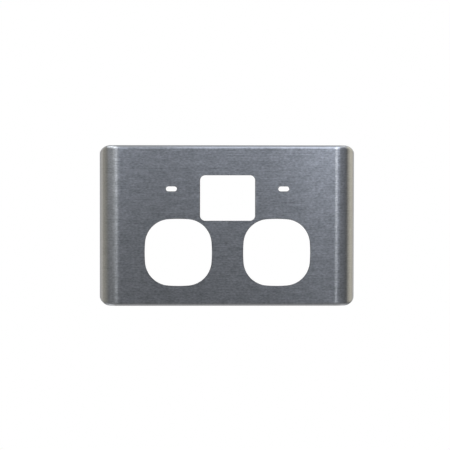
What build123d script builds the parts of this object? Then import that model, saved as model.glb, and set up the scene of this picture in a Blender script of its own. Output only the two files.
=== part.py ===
from build123d import *
import os

# Cover plate of a double power point: one sheet of brushed steel, drawn into a shallow tray and pierced.
# It stands as it does on the wall: +X to the right, +Z up, and the face towards -Y.
# The origin is the middle of the rear rim, which lies in the wall plane. Sizes are in millimetres.

# Tray, measured outside
PLATE_WIDTH = 118.0
PLATE_HEIGHT = 74.0
SHEET_THICKNESS = 0.8
END_ROLL_RADIUS = 9.6  # turns the face back to the wall at the left and right ends
END_SKIRT_DEPTH = 0.8  # straight wall between an end roll and the rim
EDGE_FOLD_RADIUS = 1.5  # fold along the top, the bottom and the corners
CORNER_RADIUS = 5.2  # rounding of the outline, seen from the front
CORNER_OVERRUN = 0.3  # how far that rounding would pass the end wall before the fold blends them

# Window for the charging module
WINDOW_WIDTH = 25.4
WINDOW_HEIGHT = 21.0
WINDOW_CORNER_RADIUS = 2.4
WINDOW_SILL = 2.3  # lower edge above the middle of the plate

# Socket openings, square with bowed sides
SOCKET_WIDTH = 31.0
SOCKET_SIDE_RADIUS = 59.0
SOCKET_CORNER_RADIUS = 11.6
SOCKET_WEB = 14.4  # metal left between the two
SOCKET_TOP = 0.9  # upper edge above the window's sill

# Round-ended slots beside the window
SLOT_LENGTH = 5.1
SLOT_WIDTH = 2.3
SLOT_SPACING = 51.8
SLOT_RISE = 17.0  # centres above the middle of the plate

# Bevel that deburring leaves along the front of each opening
PIERCED_EDGE_BREAK = 0.15

# Beads pressed into the top and bottom walls, which snap over the grid plate behind
BEAD_LENGTH = 8.0
BEAD_RADIUS = 0.7  # outside of the dent
BEAD_DEPTH = 0.5
BEAD_SPACING = 64.0
BEAD_TO_RIM = 2.6

# Notch in the bottom rim, where a screwdriver lifts the plate off
NOTCH_WIDTH = 10.0
NOTCH_DEPTH = 1.6
NOTCH_CORNER_RADIUS = 0.8

PLATE_DEPTH = END_ROLL_RADIUS + END_SKIRT_DEPTH
FACE_PLANE = Plane.XZ.offset(PLATE_DEPTH)
WALL_LEAN = 0.1  # vertical part of a unit normal, above which a face belongs to the long walls or corners


def rolled_section(inset, run_out):
    """Section from end to end, seen from above: the flat face, a roll at each end and its skirt."""
    width = PLATE_WIDTH - 2 * inset
    depth = PLATE_DEPTH - inset + run_out
    section = Pos(0, run_out) * Rectangle(width, depth, align=(Align.CENTER, Align.MAX))
    front_corners = section.vertices().group_by(Axis.Y)[0]
    return fillet(front_corners, END_ROLL_RADIUS - inset)


def plan_outline(inset):
    """Outline seen from the front: its long sides and corners bound the plate, its ends stand clear."""
    width = PLATE_WIDTH + 2 * CORNER_OVERRUN - 2 * inset
    height = PLATE_HEIGHT - 2 * inset
    return RectangleRounded(width, height, CORNER_RADIUS - inset)


def snap_beads(inset):
    """Four round-ended bars that dent the long walls, one skin of the sheet deep."""
    radius = BEAD_RADIUS + inset
    outline = SlotOverall(BEAD_LENGTH + 2 * inset, 2 * radius)
    bead = revolve(split(outline, bisect_by=Plane.XZ, keep=Keep.TOP), Axis.X)
    reach = PLATE_HEIGHT / 2 + BEAD_RADIUS - BEAD_DEPTH
    spots = GridLocations(BEAD_SPACING, 2 * reach, 2, 2)
    return [Plane.XZ.offset(BEAD_TO_RIM) * spot * bead for spot in spots]


def formed_skin(inset, run_out=0.0):
    """Solid under one skin of the drawn sheet: no inset gives the outside, the thickness the inside."""
    rolled = extrude(rolled_section(inset, run_out), PLATE_HEIGHT, both=True)
    walls = extrude(Plane.XZ * plan_outline(inset), PLATE_DEPTH + run_out, both=True)
    body = rolled & walls
    wall_faces = body.faces().filter_by(lambda face: abs(face.normal_at().Z) > WALL_LEAN)
    rear_face = body.faces().sort_by(Axis.Y)[-1]
    rolled_faces = body.faces() - wall_faces - ShapeList([rear_face])
    creases = wall_faces.edges() & rolled_faces.edges()
    return fillet(creases, EDGE_FOLD_RADIUS - inset) - snap_beads(inset)


def socket_outline():
    """Square whose sides are shallow arcs: the overlap of four circles, with its corners rounded."""
    reach = SOCKET_SIDE_RADIUS - SOCKET_WIDTH / 2
    right, top, left, bottom = [spot * Circle(SOCKET_SIDE_RADIUS) for spot in PolarLocations(reach, 4)]
    bowed_square = right & top & left & bottom
    return fillet(bowed_square.vertices(), SOCKET_CORNER_RADIUS)


def pierced_outlines():
    """Every opening in the face, seen from the front."""
    window = RectangleRounded(WINDOW_WIDTH, WINDOW_HEIGHT, WINDOW_CORNER_RADIUS)
    outlines = [Pos(0, WINDOW_SILL + WINDOW_HEIGHT / 2) * window]
    socket_row = Pos(0, WINDOW_SILL + SOCKET_TOP - SOCKET_WIDTH / 2)
    for spot in GridLocations(SOCKET_WIDTH + SOCKET_WEB, 0, 2, 1):
        outlines.append(socket_row * spot * socket_outline())
    for spot in GridLocations(SLOT_SPACING, 0, 2, 1):
        outlines.append(Pos(0, SLOT_RISE) * spot * SlotOverall(SLOT_LENGTH, SLOT_WIDTH))
    return outlines


def lifting_notch():
    """Cutter for the notch in the bottom rim, centred on the rim so that half of it meets the wall."""
    outline = RectangleRounded(NOTCH_WIDTH, 2 * NOTCH_DEPTH, NOTCH_CORNER_RADIUS)
    return Pos(0, 0, -PLATE_HEIGHT / 2) * extrude(outline, 2 * SHEET_THICKNESS, both=True)


def cover_plate():
    tray = formed_skin(0.0) - formed_skin(SHEET_THICKNESS, run_out=PLATE_DEPTH)
    for outline in pierced_outlines():
        tray -= extrude(FACE_PLANE * outline, PLATE_DEPTH, both=True)
    face = tray.faces().sort_by(Axis.Y)[0]
    pierced_edges = ShapeList(face.inner_wires()).edges()
    plate = chamfer(pierced_edges, PIERCED_EDGE_BREAK) - lifting_notch()
    plate.label = "cover_plate"
    return plate


os.makedirs("parts", exist_ok=True)
export_step(cover_plate(), "parts/cover_plate.step")
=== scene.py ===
import math

import bmesh
import bpy
from mathutils import Matrix, Quaternion, Vector


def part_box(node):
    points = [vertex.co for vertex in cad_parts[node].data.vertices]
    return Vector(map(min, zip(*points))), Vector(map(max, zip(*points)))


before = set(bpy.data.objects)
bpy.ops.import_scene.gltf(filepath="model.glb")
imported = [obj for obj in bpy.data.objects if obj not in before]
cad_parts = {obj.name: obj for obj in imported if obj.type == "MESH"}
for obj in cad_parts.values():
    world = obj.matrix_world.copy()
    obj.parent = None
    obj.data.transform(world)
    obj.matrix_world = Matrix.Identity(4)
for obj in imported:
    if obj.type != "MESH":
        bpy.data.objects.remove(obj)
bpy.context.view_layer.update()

# Looks of a brushed steel cover plate, seen from the front as it hangs on a wall.
# Metres, in the plate's own frame: +X to the right, +Z up, and the face towards -Y.

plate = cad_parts["cover_plate"]
plate_low, plate_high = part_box("cover_plate")
plate_width = plate_high.x - plate_low.x
plate_depth = plate_high.y - plate_low.y

MM = 0.001

# What the photograph shows, in its own pixels
PHOTO_SIDE = 450.0
PLATE_SPAN = 253.8  # from the left end of the plate to the right end
PLATE_MIDDLE = (226.91, 224.93)  # counted from the top left corner

# Camera, angles in degrees from straight in front of the face
CAMERA_DISTANCE = 1.2
CAMERA_AZIMUTH = -1.7
CAMERA_ELEVATION = 2.2
CAMERA_ROLL = 0.08
SENSOR_WIDTH = 36.0  # millimetres, as lenses are given

# Studio
FLOOR_LEVEL = -1.0
SWEEP_HALF_WIDTH = 2.5
SWEEP_FRONT = -2.5
SWEEP_BACK = 1.2  # where the floor starts to bend up
SWEEP_BEND_RADIUS = 0.5
SWEEP_BEND_STEPS = 12
SWEEP_HEIGHT = 2.0  # of the backdrop above the bend
TUNNEL_HALF_WIDTH = 1.0
TUNNEL_HALF_HEIGHT = 0.95
TUNNEL_FRONT = -1.8
TUNNEL_BACK = 1.0
TUNNEL_GREY = "#616161"
TUNNEL_END_GREY = "#7c7c7c"
WHITE = "#ffffff"
DAYLIGHT = "#ecf1ff"
LAMPLIGHT = "#fff4db"
WARM_WHITE = "#fff9f4"

# Bends of the sheet, which the brushed pattern follows
SHEET_THICKNESS = 0.8 * MM
END_ROLL_RADIUS = 9.6 * MM
EDGE_FOLD_RADIUS = 1.5 * MM
MARGIN = 0.1 * MM  # keeps the borders between finishes off the edges of the shape

# Where those bends lie: two depths from the wall plane, and half the height of the flat face
fold_depth = plate_depth - EDGE_FOLD_RADIUS  # to the folds along the top and bottom
face_rear = plate_depth - SHEET_THICKNESS - MARGIN  # to just behind the face's sheet
flat_half_height = plate_high.z - EDGE_FOLD_RADIUS - MARGIN

# Brush marks, length and width
# Real ones are finer than a pixel, so these are drawn as wide as they need to be to show.
DASH = (1.3 * MM, 0.65 * MM)
STREAK = (9.0 * MM, 0.65 * MM)
LONG_STREAK = (45.0 * MM, 0.65 * MM)
MOTTLE = (5.0 * MM, 3.0 * MM)
STREAK_SHARE = 0.3
LONG_STREAK_SHARE = 0.15
MOTTLE_SHARE = 0.2
MARK_DETAIL = 1.0
MARK_RAGGEDNESS = 0.6
MARK_LOW = 0.3  # nearly all of the noise lies from here to MARK_HIGH
MARK_MIDDLE = 0.5
MARK_HIGH = 0.7
SCRATCH_SLOPE = 0.01  # of a scratch's sides, as drawn

# Pressure of the brushing belt, from the squares of the surface normal's X, Y and Z
BEARING_WEIGHTS = (0.0, 1.0, -4.0)
LEAST_BEARING = 0.25  # grain that still shows on the long folds and the walls
FACE_BEARING = 0.8  # what is less than this, within the face's sheet, is the edge of an opening

# Finishes of the steel
BRUSHED_DARK = "#95999e"
BRUSHED_PALE = "#c9cdd2"
BRUSHED_ROUGHNESS_LOW = 0.275
BRUSHED_ROUGHNESS_HIGH = 0.285
BRUSHED_ANISOTROPY = 0.95
# painted shade: the dark grey of the rim round each opening, darker than the steel itself; only its
# dullness is real
PAINTED_RIM_GREY = "#5c5f63"
SHEARED_ROUGHNESS = 0.5
ALONG_GRAIN = (1.0, 0.0, 0.0)
ACROSS_GRAIN = (0.0, 0.05, 1.0)  # leans a little, so that it never lines up with a wall's normal


def linear(hex_colour):
    """Linear colour with full alpha from an sRGB hex value such as #a0a4aa."""
    channels = [int(hex_colour[at:at + 2], 16) / 255 for at in (1, 3, 5)]
    straight = [c / 12.92 if c <= 0.04045 else ((c + 0.055) / 1.055) ** 2.4 for c in channels]
    return (*straight, 1.0)


def outward(azimuth, elevation):
    """Unit vector from the plate to a place in the studio; azimuth 0 is straight in front."""
    turn = math.radians(azimuth)
    rise = math.radians(elevation)
    return Vector((math.sin(turn) * math.cos(rise), -math.cos(turn) * math.cos(rise), math.sin(rise)))


def turned_to(away, roll):
    """Rotation of a lamp or camera that stands on this side of the plate and looks back at it."""
    upright = away.to_track_quat("Z", "Y")
    return (upright @ Quaternion((0, 0, 1), math.radians(roll))).to_euler()


def add_node(tree, kind, inputs=None, take=None, **settings):
    """Adds one node and gives its output: the one named by take, or else the first in use.

    Settings are the node's own options.
    Each input, by name or number, is a value or another node's output.
    """
    node = tree.nodes.new(kind)
    for name, value in settings.items():
        setattr(node, name, value)
    for key, value in (inputs or {}).items():
        socket = next(s for at, s in enumerate(node.inputs) if s.enabled and key in (s.name, at))
        if isinstance(value, bpy.types.NodeSocket):
            tree.links.new(value, socket)
        else:
            socket.default_value = value
    return next((s for s in node.outputs if s.enabled and take in (None, s.name)), None)


def new_material(name):
    """Material with an empty node tree, and that tree."""
    material = bpy.data.materials.new(name)
    material.use_nodes = True
    material.node_tree.nodes.clear()
    return material, material.node_tree


def glowing_sheet(name, colour):
    """Evenly lit sheet or cloth of the studio: it has one brightness from every side."""
    material, tree = new_material(name)
    glow = add_node(tree, "ShaderNodeEmission", {"Color": linear(colour)})
    add_node(tree, "ShaderNodeOutputMaterial", {"Surface": glow})
    return material


def flat_blank(tree, spot, facing):
    """Place on the flat blank that the plate is pressed from.

    The blank bends with the plate: over the end rolls, and back along the walls behind the long folds.
    """
    bent = add_node(tree, "ShaderNodeMath", {0: facing["X"]}, operation="ARCSINE")
    gained = add_node(tree, "ShaderNodeMath", {0: bent, 1: facing["X"]}, operation="SUBTRACT")
    along = add_node(tree, "ShaderNodeMath", {
        0: gained, 1: END_ROLL_RADIUS, 2: spot["X"],
    }, operation="MULTIPLY_ADD")
    behind_fold = add_node(tree, "ShaderNodeMath", {0: spot["Y"], 1: fold_depth}, operation="ADD")
    across = add_node(tree, "ShaderNodeMath", {
        0: behind_fold, 1: facing["Z"], 2: spot["Z"],
    }, operation="MULTIPLY_ADD")
    return add_node(tree, "ShaderNodeCombineXYZ", {"X": along, "Y": across})


def brush_marks(tree, blank, mark):
    """Noise on the blank, drawn out to marks of one length and width."""
    length, width = mark
    stretched = add_node(tree, "ShaderNodeMapping", {
        "Vector": blank, "Scale": (1 / length, 1 / width, 1.0),
    })
    return add_node(tree, "ShaderNodeTexNoise", {
        "Vector": stretched, "Scale": 1.0, "Detail": MARK_DETAIL, "Roughness": MARK_RAGGEDNESS,
    }, noise_dimensions="2D")


def brush_grain(tree, blank, mottle):
    """Short dashes, longer streaks and a little mottle, mixed."""
    dashes = brush_marks(tree, blank, DASH)
    streaks = brush_marks(tree, blank, STREAK)
    long_streaks = brush_marks(tree, blank, LONG_STREAK)
    short_marks = add_node(tree, "ShaderNodeMix", {"Factor": STREAK_SHARE, "A": dashes, "B": streaks})
    marks = add_node(tree, "ShaderNodeMix", {
        "Factor": LONG_STREAK_SHARE, "A": short_marks, "B": long_streaks,
    })
    return add_node(tree, "ShaderNodeMix", {"Factor": MOTTLE_SHARE, "A": marks, "B": mottle})


def belt_bearing(tree, normal):
    """How hard the belt bears: fully on the face, less on the end rolls, hardly on the long folds."""
    squared = add_node(tree, "ShaderNodeVectorMath", {0: normal, 1: normal}, operation="MULTIPLY")
    return add_node(tree, "ShaderNodeVectorMath", {
        0: squared, 1: BEARING_WEIGHTS,
    }, operation="DOT_PRODUCT")


def sheared_edges(tree, spot, bearing):
    """1 on the edges of the openings, which the punch has sheared, and 0 on the rest of the sheet."""
    aslant = add_node(tree, "ShaderNodeMath", {0: bearing, 1: FACE_BEARING}, operation="LESS_THAN")
    in_face = add_node(tree, "ShaderNodeMath", {0: spot["Y"], 1: -face_rear}, operation="LESS_THAN")
    height = add_node(tree, "ShaderNodeMath", {0: spot["Z"]}, operation="ABSOLUTE")
    off_folds = add_node(tree, "ShaderNodeMath", {
        0: height, 1: flat_half_height,
    }, operation="LESS_THAN")
    edge_in_face = add_node(tree, "ShaderNodeMath", {0: aslant, 1: in_face}, operation="MULTIPLY")
    return add_node(tree, "ShaderNodeMath", {0: edge_in_face, 1: off_folds}, operation="MULTIPLY")


def scratched_normal(tree, normal, shown):
    """Normal tilted by the sloping sides of the scratches: across the grain, and never along it."""
    slope = add_node(tree, "ShaderNodeMapRange", {
        "Value": shown, "From Min": MARK_LOW, "From Max": MARK_HIGH,
        "To Min": -SCRATCH_SLOPE, "To Max": SCRATCH_SLOPE,
    })
    uphill = add_node(tree, "ShaderNodeVectorMath", {
        0: normal, 1: ALONG_GRAIN,
    }, operation="CROSS_PRODUCT")
    tilted = add_node(tree, "ShaderNodeVectorMath", {
        0: uphill, 1: slope, 2: normal,
    }, operation="MULTIPLY_ADD")
    return add_node(tree, "ShaderNodeVectorMath", {0: tilted}, operation="NORMALIZE")


def brushed_stainless_steel():
    """Stainless steel sheet, brushed from end to end with a belt and then punched.

    The belt leaves fine short scratches along X. They spread light up and down far more than sideways,
    so reflections turn into tall soft bands, and the face shows a fine dashed grain.
    The punch leaves the edges of the openings dull, and they are painted dark grey: a painted shade rim
    round each opening.
    """
    material, tree = new_material("brushed_stainless_steel")
    place = add_node(tree, "ShaderNodeTexCoord", take="Object")
    normal = add_node(tree, "ShaderNodeNewGeometry", take="Normal")
    spot = add_node(tree, "ShaderNodeSeparateXYZ", {"Vector": place}).node.outputs
    facing = add_node(tree, "ShaderNodeSeparateXYZ", {"Vector": normal}).node.outputs
    blank = flat_blank(tree, spot, facing)
    bearing = belt_bearing(tree, normal)
    sheared = sheared_edges(tree, spot, bearing)

    # The grain shows where the belt bears
    mottle = brush_marks(tree, blank, MOTTLE)
    grain = brush_grain(tree, blank, mottle)
    pressed = add_node(tree, "ShaderNodeMath", {0: bearing, 1: LEAST_BEARING}, operation="MAXIMUM")
    shown = add_node(tree, "ShaderNodeMix", {"Factor": pressed, "A": MARK_MIDDLE, "B": grain})
    tone = add_node(tree, "ShaderNodeMapRange", {
        "Value": shown, "From Min": MARK_LOW, "From Max": MARK_HIGH,
    })
    brushed_colour = add_node(tree, "ShaderNodeMix", {
        "Factor": tone, "A": linear(BRUSHED_DARK), "B": linear(BRUSHED_PALE),
    }, data_type="RGBA")
    brushed_roughness = add_node(tree, "ShaderNodeMapRange", {
        "Value": mottle, "From Min": MARK_LOW, "From Max": MARK_HIGH,
        "To Min": BRUSHED_ROUGHNESS_LOW, "To Max": BRUSHED_ROUGHNESS_HIGH,
    })

    # Painted shade: the edges of the openings are painted dark grey, and made dull
    colour = add_node(tree, "ShaderNodeMix", {
        "Factor": sheared, "A": brushed_colour, "B": linear(PAINTED_RIM_GREY),
    }, data_type="RGBA")
    roughness = add_node(tree, "ShaderNodeMix", {
        "Factor": sheared, "A": brushed_roughness, "B": SHEARED_ROUGHNESS,
    })
    across_grain = add_node(tree, "ShaderNodeCombineXYZ", dict(zip("XYZ", ACROSS_GRAIN)))
    steel = add_node(tree, "ShaderNodeBsdfPrincipled", {
        "Base Color": colour, "Metallic": 1.0, "Roughness": roughness,
        "Anisotropic": BRUSHED_ANISOTROPY, "Tangent": across_grain,
        "Normal": scratched_normal(tree, normal, shown),
    })
    add_node(tree, "ShaderNodeOutputMaterial", {"Surface": steel})
    return material


def mesh_object(name, shape, *materials):
    """Object at the origin from a finished bmesh."""
    mesh = bpy.data.meshes.new(name)
    shape.to_mesh(mesh)
    shape.free()
    for material in materials:
        mesh.materials.append(material)
    thing = bpy.data.objects.new(name, mesh)
    bpy.context.scene.collection.objects.link(thing)
    return thing


def only(kind, geometry):
    """The vertices or the edges among what a bmesh operator made."""
    return [element for element in geometry if isinstance(element, kind)]


def seamless_sweep():
    """Pale floor that bends up into a backdrop behind the plate."""
    shape = bmesh.new()
    ends = [shape.verts.new((side * SWEEP_HALF_WIDTH, SWEEP_FRONT, FLOOR_LEVEL)) for side in (-1, 1)]
    front_edge = shape.edges.new(ends)
    floor = bmesh.ops.extrude_edge_only(shape, edges=[front_edge])["geom"]
    run = Vector((0, SWEEP_BACK - SWEEP_FRONT, 0))
    bmesh.ops.translate(shape, verts=only(bmesh.types.BMVert, floor), vec=run)
    floor_edges = only(bmesh.types.BMEdge, floor)
    back_edge = [edge for edge in floor_edges if edge.verts[0].co.y == edge.verts[1].co.y]
    bend = bmesh.ops.spin(shape, geom=back_edge, cent=(0, SWEEP_BACK, FLOOR_LEVEL + SWEEP_BEND_RADIUS),
                          axis=(1, 0, 0), angle=math.radians(90), steps=SWEEP_BEND_STEPS)["geom_last"]
    wall = bmesh.ops.extrude_edge_only(shape, edges=only(bmesh.types.BMEdge, bend))["geom"]
    bmesh.ops.translate(shape, verts=only(bmesh.types.BMVert, wall), vec=(0, 0, SWEEP_HEIGHT))
    bmesh.ops.recalc_face_normals(shape, faces=shape.faces)
    return mesh_object("seamless_sweep", shape, glowing_sheet("opal_white_sweep", WHITE))


def shade_tunnel():
    """Grey tunnel round the plate with a paler end behind it.

    The metal mirrors it between the softboxes. The camera looks through it, and sees the sweep.
    """
    shape = bmesh.new()
    size = Vector((2 * TUNNEL_HALF_WIDTH, TUNNEL_BACK - TUNNEL_FRONT, 2 * TUNNEL_HALF_HEIGHT))
    middle = Vector((0, (TUNNEL_BACK + TUNNEL_FRONT) / 2, 0))
    stretched = Matrix.Translation(middle) @ Matrix.Diagonal((*size, 1.0))
    bmesh.ops.create_cube(shape, size=1.0, matrix=stretched)
    back = max(shape.faces, key=lambda face: face.calc_center_median().y)
    back.material_index = 1
    cloth = glowing_sheet("grey_tunnel_cloth", TUNNEL_GREY)
    end = glowing_sheet("pale_tunnel_end", TUNNEL_END_GREY)
    tunnel = mesh_object("shade_tunnel", shape, cloth, end)
    tunnel.visible_camera = False
    return tunnel


def softbox(name, place, size, power, colour=WHITE, spread=180, lean=0):
    """Soft rectangular light that looks at the plate.

    Its place is an azimuth, an elevation and a distance, and its size a width and a height.
    A spread under 180 degrees fades it towards its edges, and a lean turns it about the way it looks.
    """
    azimuth, elevation, distance = place
    light = bpy.data.lights.new(name, "AREA")
    light.shape = "RECTANGLE"
    light.size, light.size_y = size
    light.energy = power
    light.spread = math.radians(spread)
    light.color = linear(colour)[:3]
    lamp = bpy.data.objects.new(name, light)
    away = outward(azimuth, elevation)
    lamp.location = away * distance
    lamp.rotation_euler = turned_to(away, lean)
    lamp.visible_camera = False
    bpy.context.scene.collection.objects.link(lamp)


def studio_lights():
    """Softboxes round the plate, each placed by where its light lies on the metal in the photograph."""
    # Close above the camera: the sheen of the face, brighter towards its upper right
    softbox("key_front", (0, 28, 0.24), (0.20, 0.08), 0.059, DAYLIGHT)
    softbox("key_right", (27, 28, 0.24), (0.12, 0.09), 0.045, DAYLIGHT)
    softbox("key_left", (-27, 30, 0.24), (0.12, 0.09), 0.025, DAYLIGHT)
    softbox("key_high", (20, 48, 0.24), (0.16, 0.08), 0.083, DAYLIGHT)
    # Upright strips: the bright line where each end starts to roll, and how it fades outwards
    softbox("right_strip", (22, 20, 0.5), (0.06, 0.25), 0.11)
    softbox("right_outer_strip", (40, 40, 0.33), (0.08, 0.20), 0.072, DAYLIGHT)
    softbox("left_strip", (-29, 20, 0.5), (0.11, 0.28), 0.09, lean=25)
    softbox("left_outer_strip", (-44, 40, 0.33), (0.08, 0.20), 0.1)
    # Panels beside the camera: the darker band along the middle of each end roll
    softbox("right_panel", (46, 28, 0.33), (0.36, 0.27), 0.03, DAYLIGHT, spread=80)
    softbox("left_panel", (-50, 28, 0.33), (0.33, 0.27), 0.083, spread=120)
    # At the sides and behind: the pale outer rim of each end roll
    softbox("right_side", (114, 16, 0.8), (1.10, 0.90), 0.74, LAMPLIGHT, spread=80)
    softbox("left_side", (-108, 5, 0.8), (1.20, 0.90), 0.33, LAMPLIGHT, spread=85)
    softbox("right_back", (150, 5, 0.8), (0.50, 0.90), 0.45)
    softbox("left_back", (-136, 5, 0.8), (0.60, 0.90), 0.62, WARM_WHITE)
    # Above and below: the folds along the top and bottom
    softbox("roof", (0, 88, 0.85), (1.60, 1.20), 3.8)
    softbox("floor_bounce", (0, -88, 0.85), (1.60, 1.20), 3.0, WARM_WHITE)
    # Small ones for the corners
    softbox("upper_left_end", (-75, 52, 0.6), (0.35, 0.35), 0.32)
    softbox("upper_left_corner", (-110, 50, 0.7), (0.50, 0.40), 0.71)
    softbox("upper_right_corner", (110, 50, 0.7), (0.50, 0.40), 0.46)
    softbox("lower_left_corner", (-110, -50, 0.7), (0.50, 0.40), 0.44)
    softbox("lower_right_corner", (110, -50, 0.7), (0.50, 0.40), 0.31)


def photo_camera():
    """Camera at the photograph's angle, aimed so that the plate lands where it does there."""
    metres_per_pixel = plate_width / PLATE_SPAN
    aside = (PHOTO_SIDE / 2 - PLATE_MIDDLE[0]) * metres_per_pixel
    above = (PLATE_MIDDLE[1] - PHOTO_SIDE / 2) * metres_per_pixel
    aim = Vector((aside, 0, above))
    away = outward(CAMERA_AZIMUTH, CAMERA_ELEVATION)
    lens = bpy.data.cameras.new("photo_camera")
    lens.sensor_width = SENSOR_WIDTH
    lens.lens = SENSOR_WIDTH * CAMERA_DISTANCE / (PHOTO_SIDE * metres_per_pixel)
    camera = bpy.data.objects.new("photo_camera", lens)
    camera.location = aim + away * CAMERA_DISTANCE
    camera.rotation_euler = turned_to(away, CAMERA_ROLL)
    bpy.context.scene.collection.objects.link(camera)
    return camera


def white_room():
    """White surroundings, plain display colours."""
    world = bpy.data.worlds.new("white_room")
    world.use_nodes = True
    background = world.node_tree.nodes["Background"].inputs
    background["Color"].default_value = linear(WHITE)
    background["Strength"].default_value = 1.0
    bpy.context.scene.world = world
    bpy.context.scene.view_settings.view_transform = "Standard"


plate.material_slots[0].material = brushed_stainless_steel()

white_room()
seamless_sweep()
shade_tunnel()
studio_lights()
bpy.context.scene.camera = photo_camera()
